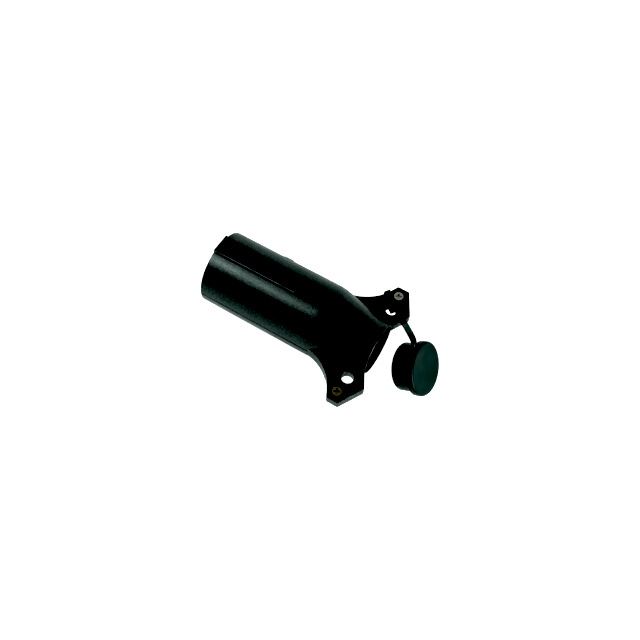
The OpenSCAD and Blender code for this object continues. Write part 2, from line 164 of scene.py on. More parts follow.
def nickelPlatedSteel(name):
    # nickel over steel: pale and slightly warm, with brassy tarnish in the sheltered screw (low Y)
    plating = {"patchMm": 0.9, "roughness": (0.28, 0.5), "scuffMm": 0.25, "scuffDepthMm": 0.01,
               "clean": "#d8d5cc", "tarnished": "#7d704e", "tarnish": 0.75, "betweenMm": 20}
    material, tree, shader = newMaterial(name, {"Metallic": 1.0})
    place = addNode(tree, "ShaderNodeTexCoord").outputs["Object"]
    patch = mottle(tree, shader, place, plating["patchMm"], *plating["roughness"])
    split = addNode(tree, "ShaderNodeSeparateXYZ", {}, {0: place})
    between = plating["betweenMm"] * mm      # the tarnish sets in from here to the other side
    side = addNode(tree, "ShaderNodeMapRange",
                   {"From Min": between, "From Max": -between, "To Min": 0.0, "To Max": plating["tarnish"]},
                   {0: split.outputs["Y"]})
    spots = addNode(tree, "ShaderNodeMath", {"operation": "MULTIPLY_ADD", 1: 0.8, 2: -0.25},
                    {0: patch.outputs["Fac"]})
    amount = addNode(tree, "ShaderNodeMath", {"operation": "ADD", "use_clamp": True},
                     {0: side.outputs["Result"], 1: spots.outputs[0]})
    tintBetween(tree, shader, amount.outputs[0], plating["clean"], plating["tarnished"])
    scuff = addNode(tree, "ShaderNodeTexNoise", {"Scale": 1 / (plating["scuffMm"] * mm)}, {"Vector": place})
    bumpChain(tree, shader, [(scuff.outputs["Fac"], plating["scuffDepthMm"], 0.3)])
    return material


def brassStrip(name, bright, dull, lineMm):
    # brass: rolled strip or turned bar, both show fine parallel tool lines across X
    metal = {"patchMm": 2.5, "roughness": (0.22, 0.4), "lineDepthMm": 0.01,
             "waveUnit": 0.31}      # a wave's bands repeat every waveUnit / Scale
    material, tree, shader = newMaterial(name, {"Metallic": 1.0})
    place = addNode(tree, "ShaderNodeTexCoord").outputs["Object"]
    lines = addNode(tree, "ShaderNodeTexWave",
                    {"wave_type": "BANDS", "bands_direction": "X", "Distortion": 1.5, "Detail": 2.0,
                     "Scale": metal["waveUnit"] / (lineMm * mm)}, {"Vector": place})
    patch = mottle(tree, shader, place, metal["patchMm"], *metal["roughness"])
    tintBetween(tree, shader, patch.outputs["Fac"], bright, dull)
    bumpChain(tree, shader, [(lines.outputs["Fac"], metal["lineDepthMm"], 0.25)])
    return material


def glassFilledPbt(name, dark, light):
    # PBT with chopped glass: charcoal, matte, with short pale fibres lying near the skin
    glass = {"fibreMm": 0.5, "fibreDepthMm": 0.02, "patchMm": 3, "roughness": (0.46, 0.6)}
    material, tree, shader = newMaterial(name, {"IOR": 1.55, "Specular IOR Level": 0.4})
    place = addNode(tree, "ShaderNodeTexCoord").outputs["Object"]
    stretch = addNode(tree, "ShaderNodeMapping", {"Scale": (0.35, 1.0, 1.0)}, {"Vector": place})
    fibres = addNode(tree, "ShaderNodeTexVoronoi", {"Scale": 1 / (glass["fibreMm"] * mm)},
                     {"Vector": stretch.outputs[0]})
    mottle(tree, shader, place, glass["patchMm"], *glass["roughness"])
    tintBetween(tree, shader, fibres.outputs["Distance"], dark, light)
    bumpChain(tree, shader, [(fibres.outputs["Distance"], glass["fibreDepthMm"], 0.3)])
    return material


def pvcInsulation(name, deep, pale):
    # extruded PVC over stranded wire: soft gloss, slight lengthwise waviness from the strands
    skin = {"strandMm": 0.8, "strandDepthMm": 0.03, "patchMm": 4, "roughness": (0.32, 0.42)}
    material, tree, shader = newMaterial(name, {"IOR": 1.53, "Specular IOR Level": 0.5})
    place = addNode(tree, "ShaderNodeTexCoord").outputs["Object"]
    along = addNode(tree, "ShaderNodeMapping", {"Scale": (0.15, 1.0, 1.0)}, {"Vector": place})
    strands = addNode(tree, "ShaderNodeTexNoise", {"Scale": 1 / (skin["strandMm"] * mm)},
                      {"Vector": along.outputs[0]})
    patch = mottle(tree, shader, place, skin["patchMm"], *skin["roughness"])
    tintBetween(tree, shader, patch.outputs["Fac"], deep, pale)
    bumpChain(tree, shader, [(strands.outputs["Fac"], skin["strandDepthMm"], 0.3)])
    return material


finishes = {
    "housing_plastic": sparkErodedNylon("sparkErodedBlackNylon", "#060707", "#0a0b0b"),
    "insert_plastic": glassFilledPbt("glassFilledCharcoalPbt", "#1c1e20", "#2b2e31"),
    "screw_steel": nickelPlatedSteel("nickelPlatedSteel"),
    "contact_brass": brassStrip("rolledBrassStrip", "#d9b160", "#a9823d", 0.3),
    "pin_brass": brassStrip("turnedBrassBar", "#e0bd72", "#b38f4b", 0.2),
    "tether_rubber": mouldedRubber("mouldedStrapRubber", "#060707", "#0b0c0c", 0.3, 0.34),
    "plug_rubber": mouldedRubber("mouldedPlugRubber", "#080e0d", "#0c1413", 0.42, 0.17),
    "wire_white": pvcInsulation("whitePvcInsulation", "#d8d6cd", "#ebe9e2"),
    "wire_brown": pvcInsulation("brownPvcInsulation", "#4c3020", "#63402b"),
    "wire_yellow": pvcInsulation("yellowPvcInsulation", "#d9b416", "#ecc931"),
    "wire_green": pvcInsulation("greenPvcInsulation", "#176233", "#237a42"),
}
print("materials ready:", len(finishes))


# ---- mesh helpers ----

def newPiece(name, points, faces, edges=()):
    mesh = bpy.data.meshes.new(name)
    mesh.from_pydata([Vector(p) * mm for p in points], list(edges), faces)
    piece = bpy.data.objects.new(name, mesh)
    bpy.context.scene.collection.objects.link(piece)
    return piece


def faceOutwards(piece):
    work = bmesh.new()
    work.from_mesh(piece.data)
    bmesh.ops.remove_doubles(work, verts=work.verts, dist=0.001 * mm)
    bmesh.ops.recalc_face_normals(work, faces=work.faces)
    work.to_mesh(piece.data)
    work.free()
    return piece


def settle(piece):
    # the modifiers' result becomes the piece's own plain mesh
    shape = bpy.data.meshes.new_from_object(piece.evaluated_get(bpy.context.evaluated_depsgraph_get()))
    before = piece.data
    piece.modifiers.clear()
    piece.data = shape
    bpy.data.meshes.remove(before)


def combine(piece, tool, operation):
    change = piece.modifiers.new("combine", "BOOLEAN")
    change.solver = "MANIFOLD"
    change.operation = operation
    change.object = tool
    settle(piece)
    bpy.data.objects.remove(tool)


def softShading(piece, angle=35):
    piece.data.shade_smooth()
    piece.data.set_sharp_from_angle(angle=math.radians(angle))
    weighted = piece.modifiers.new("even shading", "WEIGHTED_NORMAL")
    weighted.keep_sharp = True
    settle(piece)


def roundedPath(points, radii, steps=6):
    # a flat path whose corners are turned into arcs
    path = []
    for k, radius in enumerate(radii):
        corner = Vector(points[k])
        if radius == 0:
            path.append(corner)
            continue
        before = (Vector(points[k - 1]) - corner).normalized()
        after = (Vector(points[(k + 1) % len(points)]) - corner).normalized()
        half = before.angle(after) / 2
        middle = corner + (before + after).normalized() * radius / math.sin(half)
        start = corner + before * radius / math.tan(half) - middle
        end = corner + after * radius / math.tan(half) - middle
        sweep = start.angle(end) * (1 if start.cross(end) > 0 else -1)
        for step in range(steps + 1):
            turn = Matrix.Rotation(sweep * step / steps, 2)
            path.append(middle + turn @ start)
    return path


def turnedAbout(name, profile, steps=circleSteps):
    # profile runs from the X axis round to the X axis as (x, radius)
    points = [(profile[0][0], 0, 0)]
    for x, radius in profile[1:-1]:
        for k in range(steps):
            angle = math.tau * k / steps
            points.append((x, -radius * math.sin(angle), radius * math.cos(angle)))
    points.append((profile[-1][0], 0, 0))
    faces = []
    for k in range(steps):
        after = (k + 1) % steps
        faces.append((0, 1 + after, 1 + k))
        for ring in range(len(profile) - 3):
            base = 1 + ring * steps
            faces.append((base + k, base + after, base + steps + after, base + steps + k))
        last = 1 + (len(profile) - 3) * steps
        faces.append((len(points) - 1, last + k, last + after))
    return faceOutwards(newPiece(name, points, faces))


def inset(outline, distance):
    # every corner of a closed outline moves inwards along its mitre
    moved = []
    for k, corner in enumerate(outline):
        first = (corner - outline[k - 1]).normalized()
        second = (outline[(k + 1) % len(outline)] - corner).normalized()
        firstIn = Vector((-first.y, first.x))
        secondIn = Vector((-second.y, second.x))
        moved.append(corner + (firstIn + secondIn) * distance / (1 + firstIn.dot(secondIn)))
    return moved


def slab(name, outline, low, high, lowEdge=0.0, highEdge=0.0, steps=3):
    # an outline, anticlockwise from above, with height and rounded rims
    outline = [Vector(p) for p in outline]
    levels = []
    for k in range(steps + 1 if lowEdge else 1):
        turn = math.pi / 2 * k / steps if lowEdge else 0
        levels.append((low + lowEdge * (1 - math.cos(turn)), lowEdge * (1 - math.sin(turn))))
    for k in range(steps + 1 if highEdge else 1):
        turn = math.pi / 2 * (1 - k / steps) if highEdge else 0
        levels.append((high - highEdge * (1 - math.cos(turn)), highEdge * (1 - math.sin(turn))))
    points = [(p.x, p.y, z) for z, depth in levels for p in (inset(outline, depth) if depth else outline)]
    count = len(outline)
    faces = [tuple(reversed(range(count))), tuple(range(len(points) - count, len(points)))]
    for level in range(len(levels) - 1):
        for k in range(count):
            after = (k + 1) % count
            base = level * count
            faces.append((base + k, base + after, base + count + after, base + count + k))
    return faceOutwards(newPiece(name, points, faces))


def placed(piece, change):
    # moves the mesh itself, so that the object stays at the origin
    change = change.copy()
    change.translation *= mm
    piece.data.transform(change)
    if change.determinant() < 0:
        piece.data.flip_normals()
    return piece


def rectangle(low, high):
    return [(low[0], low[1]), (high[0], low[1]), (high[0], high[1]), (low[0], high[1])]


def dress(piece, slotName):
    piece.data.materials.clear()
    piece.data.materials.append(finishes[slotName])
    return piece


# ---- housing ----

shellLow, shellHigh = nodeBox("lower_shell")
housing = {
    "radius": -shellLow.z,
    "length": mounts["socket_mouth"]["pos_m"][0] / mm + mounts["socket_mouth"]["dims"]["length_mm"] / 2,
    "shoulderX": 74.0,
    "collar": (98.0, 16.5),             # place and radius where the neck's cone ends
    "collarEnds": ((-1.5, 0.6), (2.5, -0.5)),
    "lipRadius": 15.85,
    "outerCorners": [0, 0.6, 30, 6, 12, 0.9, 0],
    "wall": 2.3,
    "seam": nodeBox("upper_shell")[0].z,
    "seamEdge": 0.3,
    "hollowEdges": (2, 70, 21),         # from, to and half width of the seam's inner edges, left sharp
    "grooveDepth": 0.9, "grooveHalf": 0.42, "groovePast": 8,
    "mouthRadius": mounts["socket_mouth"]["dims"]["r_mm"],
    "mouthDepth": mounts["socket_mouth"]["dims"]["length_mm"],
    "boreRadius": mounts["four_pin_socket"]["dims"]["r_mm"],
    "rimEdge": 0.35,
    "carrierGroove": (24.1, 26.9), "carrierGrooveDepth": 1,
    "pinSeat": (79.4, 90.1), "pinSeatDepth": 0.8, "neckInside": 2.85,
    "pinGroove": (83.1, 85.9), "pinGrooveDepth": 2.2,
    "keyway": (1.2, 0.7),               # half width and depth of the slot along the socket
}
keyRib = {"start": 0.3, "width": 12.6, "length": 54.5, "ramp": 4.5, "rampFoot": 0.4,
          "top": nodeBox("upper_shell")[1].z, "corners": [0, 0, 0.4, 1.2, 0.5], "facet": 0.5, "lean": 28}
lug = {"from": 32.6, "to": 38.6, "width": 2.6, "height": 0.4, "angle": 60, "edge": 0.2}
ear = {
    "half": mounts["ear_hole"]["dims"]["length_mm"] / 2,
    "flankCentre": (70.0, 50.4),
    "flankRadius": 28.4,
    "flankEnd": -29.5,
    "rootX": 66.0,
    "tip": [(97.75, shellHigh.y), (105.2, shellHigh.y), (113.4, 27.5), (107.3, 16.05)],
    "corners": [1.2, 1.2, 1.6, 0],
    "edge": 0.4,
    "hole": Vector(mounts["ear_hole"]["pos_m"]) / mm,
    "holeRadius": mounts["ear_hole"]["dims"]["r_mm"],
    "holeEdge": 0.45,
    "deepWall": 2.2,
    "deepTo": -5.0,
    "deepEdge": 0.4,
    "deepArc": (-86, -15),              # starts at this angle and ends this far short of the flank
    "bossRadius": 3.3,
    "bossEdge": 0.5,
}
screw = {"x": 101.1, "y": 36.5, "headRadius": 2.8, "turn": 25, "recess": (3.7, 1.0, 1.8), "sink": 1.35,
         "boreFrom": -4.9, "boreRadius": 1.35, "neckRadius": 1.5, "play": 0.1, "rim": 0.15}
alongBarrel = Matrix(((0, 0, 1, 0), (1, 0, 0, 0), (0, 1, 0, 0), (0, 0, 0, 1)))   # a slab's height becomes X


def outerProfile():
    collarX, collarR = housing["collar"]
    collar = [(collarX + x, collarR + r) for x, r in housing["collarEnds"]]
    corners = [(0, 0), (0, housing["radius"]), (housing["shoulderX"], housing["radius"])] + collar \
        + [(housing["length"], housing["lipRadius"]), (housing["length"], 0)]
    return roundedPath(corners, housing["outerCorners"], 8)


def hollowProfile():
    # inside of the housing, with the two grooves that hold the inserts and flared, rounded ends
    inner = housing["radius"] - housing["wall"]
    bore, mouth, rim, end = (housing[k] for k in ("boreRadius", "mouthRadius", "rimEdge", "length"))
    carrierGroove, pinGroove, pinSeat = (housing[k] for k in ("carrierGroove", "pinGroove", "pinSeat"))
    carrierIn = inner + housing["carrierGrooveDepth"]
    seat, pinIn = bore + housing["pinSeatDepth"], bore + housing["pinGrooveDepth"]
    mouthFrom = end - housing["mouthDepth"]
    corners = [(-1, 0), (-1, inner + rim), (0, inner + rim), (rim, inner), (carrierGroove[0], inner),
               (carrierGroove[0], carrierIn), (carrierGroove[1], carrierIn), (carrierGroove[1], inner),
               (housing["shoulderX"] - 1, inner), (pinSeat[0], inner - housing["neckInside"]),
               (pinSeat[0], seat), (pinGroove[0], seat), (pinGroove[0], pinIn), (pinGroove[1], pinIn),
               (pinGroove[1], seat), (pinSeat[1], seat), (pinSeat[1], bore), (mouthFrom, bore),
               (mouthFrom, mouth), (end - rim, mouth), (end, mouth + rim), (end + 1, mouth + rim),
               (end + 1, 0)]
    return [Vector(c) for c in corners]


def earOutline(side):
    centre = Vector(ear["flankCentre"])
    arcSteps = 24
    outline = [Vector((ear["rootX"], 0))]
    for k in range(arcSteps + 1):
        angle = math.radians(-90 + (ear["flankEnd"] + 90) * k / arcSteps)
        outline.append(centre + ear["flankRadius"] * Vector((math.cos(angle), math.sin(angle))))
    outline += [Vector(p) for p in ear["tip"]] + [Vector((ear["tip"][-1][0], 0))]
    radii = [0] * (arcSteps + 2) + ear["corners"] + [0]
    outline = roundedPath(outline, radii)
    outline.reverse()                  # the list above runs clockwise
    if side < 0:
        outline = [Vector((p.x, -p.y)) for p in reversed(outline)]
    return outline


def halfShell(name, top):
    # one half of the split housing; top is 1 for the half with the key and -1 for the other
    seam = housing["seam"]
    body = turnedAbout(name, outerProfile())
    if top > 0:
        start, flatEnd, ridge = keyRib["start"], keyRib["length"], keyRib["top"]
        rampEnd, rampFoot = flatEnd + keyRib["ramp"], housing["radius"] - keyRib["rampFoot"]
        rib = roundedPath([(start, 0), (rampEnd, 0), (rampEnd, rampFoot), (flatEnd, ridge), (start, ridge)],
                          keyRib["corners"])
        half = keyRib["width"] / 2
        keyTool = slab("key", rib, -half, half)
        upright = Matrix(((1, 0, 0, 0), (0, 0, -1, 0), (0, 1, 0, 0), (0, 0, 0, 1)))
        combine(body, placed(keyTool, upright), "UNION")
        for side in (-1, 1):
            combine(body, keyFacet(side), "DIFFERENCE")
        for side in (-1, 1):
            radius = housing["radius"]
            foot = rectangle((lug["from"], -lug["width"] / 2), (lug["to"], lug["width"] / 2))
            lugTool = slab("lug", foot, radius - 1, radius + lug["height"], 0, lug["edge"])
            lean = Matrix.Rotation(math.radians(-lug["angle"] * side), 4, "X")
            combine(body, placed(lugTool, lean), "UNION")
    for side in (-1, 1):
        outline = earOutline(side)
        if top > 0:
            combine(body, slab("ear", outline, -1, ear["half"], 0, ear["edge"]), "UNION")
            continue
        combine(body, slab("ear", outline, -ear["half"], 1, ear["edge"], 0), "UNION")
        combine(body, deepFlank(side), "UNION")
        foot, radius = ear["deepTo"], ear["bossRadius"]
        boss = turnedAbout("boss", roundedPath([(foot, 0), (foot, radius), (0, radius), (0, 0)],
                                               [0, ear["bossEdge"], 0, 0]), 48)
        combine(body, placed(boss, upOnEar(screw["x"], side * screw["y"])), "UNION")
    combine(body, turnedAbout("hollow", hollowProfile()), "DIFFERENCE")
    for side in (-1, 1):
        combine(body, holeCutter(side), "DIFFERENCE")
        combine(body, screwCutter(side), "DIFFERENCE")
    bore, (halfSlot, slotDepth) = housing["boreRadius"], housing["keyway"]
    slot = rectangle((housing["pinSeat"][1], -halfSlot), (housing["length"] + 1, halfSlot))
    combine(body, slab("keyway", slot, bore - 1, bore + slotDepth), "DIFFERENCE")
    roomLow, roomHigh, roomTop = (-10, -60), (130, 60), 40      # past the housing on every side
    keep = (seam, roomTop) if top > 0 else (-roomTop, -seam)
    combine(body, slab("half", rectangle(roomLow, roomHigh), *keep), "INTERSECT")
    for side in (-1, 1):
        combine(body, seamGroove(side, top), "DIFFERENCE")
    breakSeamEdge(body, seam * top)
    softShading(body)
    return dress(body, "housing_plastic")


def wedgeAlongBarrel(name, wedge, side, low, high):
    # a section given as (y, z) for the +Y side, anticlockwise, and drawn out along X
    if side < 0:
        wedge = [(-y, z) for y, z in reversed(wedge)]
    return placed(slab(name, wedge, low, high), alongBarrel)


def keyFacet(side):
    # both long edges of the key are broken by a narrow facet that leans outwards and catches the light
    half, top, width = keyRib["width"] / 2, keyRib["top"], keyRib["facet"]
    fall = math.tan(math.radians(keyRib["lean"]))
    wedge = [(half - width, top), (half + 1, top - (width + 1) * fall), (half + 1, top + 1),
             (half - width, top + 1)]
    return wedgeAlongBarrel("keyFacet", wedge, side, -1, keyRib["length"])


def seamGroove(side, top):
    # the moulded halves meet in a fine groove along the barrel
    radius, deep, high = housing["radius"], housing["grooveDepth"], housing["grooveHalf"]
    low, high = (-1, high) if top > 0 else (-high, 1)
    section = rectangle((radius - deep, low), (radius + 1, high))
    return wedgeAlongBarrel("seamGroove", section, side, -1, ear["rootX"] + housing["groovePast"])


def upOnEar(x, y):
    # stands a turned shape on an ear: its own X becomes up
    return Matrix(((0, 0, -1, x), (0, 1, 0, y), (1, 0, 0, 0), (0, 0, 0, 1)))


def deepFlank(side):
    # the wall under the concave edge, deeper than the ear
    centre = Vector(ear["flankCentre"])
    first, short = ear["deepArc"]
    wallSteps = 20
    inner, outer = [], []
    for k in range(wallSteps + 1):
        angle = math.radians(first + (ear["flankEnd"] + short - first) * k / wallSteps)
        direction = Vector((math.cos(angle), math.sin(angle)))
        inner.append(centre + ear["flankRadius"] * direction)
        outer.append(centre + (ear["flankRadius"] + ear["deepWall"]) * direction)
    outline = outer + inner[::-1]
    if side < 0:
        outline = [Vector((p.x, -p.y)) for p in outline]
    if signedArea(outline) < 0:
        outline.reverse()
    return slab("deepFlank", outline, ear["deepTo"], -1, ear["deepEdge"], 0)


def signedArea(outline):
    return sum(outline[k - 1].cross(p) for k, p in enumerate(outline)) / 2


def holeCutter(side):
    edge, half = ear["holeEdge"], ear["half"]
    radius, x, y = ear["holeRadius"], ear["hole"].x, abs(ear["hole"].y)
    turns = [math.pi / 2 * k / 4 for k in range(5)]
    upper = [(half - edge * (1 - math.sin(turn)), radius + edge * (1 - math.cos(turn))) for turn in turns]
    lower = [(-z, r) for z, r in reversed(upper)]
    top, past = radius + edge, 20
    profile = [(-past, 0), (-past, top)] + lower + upper + [(past, top), (past, 0)]
    return placed(turnedAbout("hole", profile, 64), upOnEar(x, side * y))


def screwCutter(side):
    half, head, rim = ear["half"], screw["headRadius"] + screw["play"], screw["rim"]
    profile = [(screw["boreFrom"], 0), (screw["boreFrom"], screw["boreRadius"]),
               (half - screw["sink"], screw["neckRadius"]), (half - rim, head), (half, head + rim),
               (half + 2, head + rim), (half + 2, 0)]
    return placed(turnedAbout("screwSeat", profile, 64), upOnEar(screw["x"], side * screw["y"]))


def breakSeamEdge(body, level):
    # a small chamfer round the outer edge of the parting face, so that the seam reads as a fine groove
    hollowFrom, hollowTo, hollowHalf = housing["hollowEdges"]
    mouthEdge = housing["mouthRadius"] + 0.9
    flat = 0.0005 * mm
    work = bmesh.new()
    work.from_mesh(body.data)
    chosen = []
    for edge in work.edges:
        onSeam = all(abs(v.co.z - level * mm) < flat for v in edge.verts)
        if not onSeam or len(edge.link_faces) != 2:
            continue
        tilt = sorted(abs(f.normal.z) for f in edge.link_faces)
        middle = (edge.verts[0].co + edge.verts[1].co) / 2 / mm
        inHollow = hollowFrom < middle.x < hollowTo and abs(middle.y) < hollowHalf
        if tilt[1] > 0.99 and tilt[0] < 0.7 and abs(middle.y) > mouthEdge and not inHollow:
            chosen.append(edge)
    bmesh.ops.bevel(work, geom=chosen, offset=housing["seamEdge"] * mm, segments=1, affect="EDGES",
                    clamp_overlap=True)
    work.to_mesh(body.data)
    work.free()


upperShell = halfShell("upperShell", 1)
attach(upperShell, "housing")
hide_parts("upper_shell")
lowerShell = halfShell("lowerShell", -1)
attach(lowerShell, "housing")
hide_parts("lower_shell")
print("housing shells:", len(upperShell.data.polygons), "and", len(lowerShell.data.polygons), "faces")


# ---- repeated fittings, by Geometry Nodes ----

def newTree(name, inputs):
    tree = bpy.data.node_groups.new(name, "GeometryNodeTree")
    tree.interface.new_socket("Geometry", in_out="INPUT", socket_type="NodeSocketGeometry")
    tree.interface.new_socket("Geometry", in_out="OUTPUT", socket_type="NodeSocketGeometry")
    for label, kind, value in inputs:
        tree.interface.new_socket(label, in_out="INPUT", socket_type=kind).default_value = value
    source = addNode(tree, "NodeGroupInput")
    return tree, source


def finishTree(tree, geometry, slotName):
    realized = addNode(tree, "GeometryNodeRealizeInstances", {}, {0: geometry})
    painted = addNode(tree, "GeometryNodeSetMaterial", {"Material": finishes[slotName]},
                      {0: realized.outputs[0]})
    addNode(tree, "NodeGroupOutput", {}, {0: painted.outputs[0]})


def grow(name, tree, values, start=None):
    # runs a tree on a piece and keeps the result as its plain mesh
    piece = start or newPiece(name, [], [])
    modifier = piece.modifiers.new("grow", "NODES")
    modifier.node_group = tree
    for item in tree.interface.items_tree:
        if item.in_out == "INPUT" and item.name in values:
            modifier[item.identifier] = values[item.name]
    settle(piece)
    return piece


def screwTree():
    # countersunk screws in a row, each with a crossed recess
    length = "NodeSocketFloat"
    tree, source = newTree("earScrews", [
        ("Head Radius", length, 2.8 * mm), ("Neck Radius", length, 1.4 * mm), ("Sink", length, 1.35 * mm),
        ("Shank Radius", length, 1.3 * mm), ("Shank Length", length, 6.2 * mm),
        ("Recess", "NodeSocketVector", (3.2 * mm, 0.7 * mm, 2 * mm)), ("Turn", length, 0.4),
        ("First", "NodeSocketVector", (0, 0, 0)), ("Step", "NodeSocketVector", (0, 1, 0))])
    out = source.outputs
    head = addNode(tree, "GeometryNodeMeshCone", {"Vertices": 64, "Side Segments": 1},
                   {"Radius Top": out["Head Radius"], "Radius Bottom": out["Neck Radius"],
                    "Depth": out["Sink"]})
    down = addNode(tree, "ShaderNodeVectorMath", {"operation": "MULTIPLY", 1: (0, 0, -1)})
    drop = addNode(tree, "ShaderNodeCombineXYZ", {}, {"Z": out["Sink"]})
    tree.links.new(drop.outputs[0], down.inputs[0])
    seated = addNode(tree, "GeometryNodeTransform", {},
                     {0: head.outputs["Mesh"], "Translation": down.outputs[0]})
    shank = addNode(tree, "GeometryNodeMeshCylinder", {"Vertices": 32},
                    {"Radius": out["Shank Radius"], "Depth": out["Shank Length"]})
    shankTop = -1.2 * mm                # the shank starts inside the head's cone
    reach = addNode(tree, "ShaderNodeMath", {"operation": "MULTIPLY_ADD", 1: -0.5, 2: shankTop},
                    {0: out["Shank Length"]})
    lower = addNode(tree, "ShaderNodeCombineXYZ", {}, {"Z": reach.outputs[0]})
    hung = addNode(tree, "GeometryNodeTransform", {},
                   {0: shank.outputs["Mesh"], "Translation": lower.outputs[0]})
    solid = addNode(tree, "GeometryNodeMeshBoolean", {"operation": "UNION", "solver": "EXACT"},
                    {"Mesh 2": seated.outputs[0]})
    tree.links.new(hung.outputs[0], solid.inputs["Mesh 2"])
    cut = addNode(tree, "GeometryNodeMeshBoolean", {"operation": "DIFFERENCE", "solver": "EXACT"},
                  {"Mesh 1": solid.outputs["Mesh"]})
    for quarter in (0.0, math.pi / 2):
        blade = addNode(tree, "GeometryNodeMeshCube", {}, {"Size": out["Recess"]})
        angle = addNode(tree, "ShaderNodeMath", {"operation": "ADD", 1: quarter}, {0: out["Turn"]})
        turn = addNode(tree, "ShaderNodeCombineXYZ", {}, {"Z": angle.outputs[0]})
        turned = addNode(tree, "GeometryNodeTransform", {},
                         {0: blade.outputs["Mesh"], "Rotation": turn.outputs[0]})
        tree.links.new(turned.outputs[0], cut.inputs["Mesh 2"])
    row = addNode(tree, "GeometryNodeMeshLine", {"mode": "OFFSET", "Count": 2},
                  {"Start Location": out["First"], "Offset": out["Step"]})
    spread = addNode(tree, "GeometryNodeInstanceOnPoints", {},
                     {"Points": row.outputs["Mesh"], "Instance": cut.outputs["Mesh"]})
    finishTree(tree, spread.outputs[0], "screw_steel")
    return tree


earScrews = grow("earScrews", screwTree(), {
    "Head Radius": screw["headRadius"] * mm, "Sink": screw["sink"] * mm,
    "Turn": math.radians(screw["turn"]),
    "Recess": (screw["recess"][0] * mm, screw["recess"][1] * mm, 2 * screw["recess"][2] * mm),
    "First": (screw["x"] * mm, -screw["y"] * mm, ear["half"] * mm), "Step": (0, 2 * screw["y"] * mm, 0)})
softShading(faceOutwards(earScrews), 30)
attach(earScrews, "housing")
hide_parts("shell_screws")


# ---- tether ----

strap = {
    "width": 3.8, "thickness": 1.5, "edge": 0.4,
    "postWidth": 0.7, "postThickness": 0.6,
    "postAt": (1.15, 2.65),             # along and across, from the hole
    "postBite": (0.4, 0.2),             # how far the post's top and foot run into the band
    "backThin": (-12.15, 0.4),          # past this reach the band is pulled thin round the ear
    "pulls": (22.0, 20.0),              # how far each end of the arch holds its own direction
    "flat": 7.3,                        # straight stretch past the first bend
    "nearCut": 0.22, "farCut": 0.74,    # where the three pieces meet, along the arch
    "backReach": -13.05, "backRadius": 1.25,
    "underFrom": -1.2, "overFrom": -6,  # where the loop starts under the ear and lands on top of it
    "tabDepths": (0.4, 0.8, 1.2, 1.6),  # the last band runs on into the plug
}
plug = {
    "face": Vector((136.4, 4.8, -2.3)), "pitch": 31.2, "yaw": 4.8,
    "flangeRadius": 15.85, "flange": 4.7, "bodyRadius": 13.95, "length": 15.2, "wall": 2.3,
    "dish": 0.5, "floorPast": 0.4,
    "corners": [1.5, 0.6, 0.4, 0.9, 0.5, 0.8, 0],
}
liftAt, bendAt, flexAt = (jointPlace(name) for name in ("strap_lift", "strap_bend", "plug_flex"))
across = -jointAxis("strap_lift")
along = across.cross(Vector((0, 0, 1)))
tabSide = -jointAxis("plug_flex")
plugTurn = Matrix.Rotation(math.radians(plug["yaw"]), 3, "Z") \
    @ Matrix.Rotation(math.radians(-plug["pitch"]), 3, "Y")
tabOut = (plugTurn @ Vector((1, 0, 0))).cross(tabSide)
tiedHole = Vector((ear["hole"].x, abs(ear["hole"].y), 0))      # the strap is looped through this ear
archStart = liftAt + along * strap["flat"]


def archPoint(t):
    startPull, endPull = strap["pulls"]
    return ((2 * t ** 3 - 3 * t * t + 1) * archStart + (t ** 3 - 2 * t * t + t) * startPull * along
            + (3 * t * t - 2 * t ** 3) * flexAt - (t ** 3 - t * t) * endPull * tabOut)


def archSide(t):
    direction = (archPoint(t + 0.001) - archPoint(t - 0.001)).normalized()
    side = across * (1 - t) + tabSide * t
    return (side - direction * side.dot(direction)).normalized()


def ribbonTree():
    # a flat band with rounded edges along a path of points that carry their own side direction
    length = "NodeSocketFloat"
    tree, source = newTree("strapRibbon", [("Width", length, 3.8 * mm), ("Thickness", length, 1.5 * mm),
                                           ("Edge", length, 0.4 * mm)])
    out = source.outputs
    path = addNode(tree, "GeometryNodeMeshToCurve", {}, {"Mesh": out["Geometry"]})
    side = addNode(tree, "GeometryNodeInputNamedAttribute",
                   {"data_type": "FLOAT_VECTOR", "Name": "bandSide"})
    held = addNode(tree, "GeometryNodeSetCurveNormal", {"mode": "FREE"},
                   {"Curve": path.outputs[0], "Normal": side.outputs["Attribute"]})
    section = addNode(tree, "GeometryNodeCurvePrimitiveQuadrilateral", {"mode": "RECTANGLE"},
                      {"Width": out["Width"], "Height": out["Thickness"]})
    softened = addNode(tree, "GeometryNodeFilletCurve", {"mode": "POLY", "Count": 4},
                       {"Curve": section.outputs[0], "Radius": out["Edge"]})
    band = addNode(tree, "GeometryNodeCurveToMesh", {"Fill Caps": True},
                   {"Curve": held.outputs[0], "Profile Curve": softened.outputs[0]})
    finishTree(tree, band.outputs[0], "tether_rubber")
    return tree


strapTree = ribbonTree()


def ribbon(name, places, sides, width, thickness):
    edges = [(k, k + 1) for k in range(len(places) - 1)]
    start = newPiece(name, places, [], edges)
    attribute = start.data.attributes.new("bandSide", "FLOAT_VECTOR", "POINT")
    attribute.data.foreach_set("vector", [c for side in sides for c in side])
    sizes = {"Width": width * mm, "Thickness": thickness * mm, "Edge": strap["edge"] * mm}
    return faceOutwards(grow(name, strapTree, sizes, start))


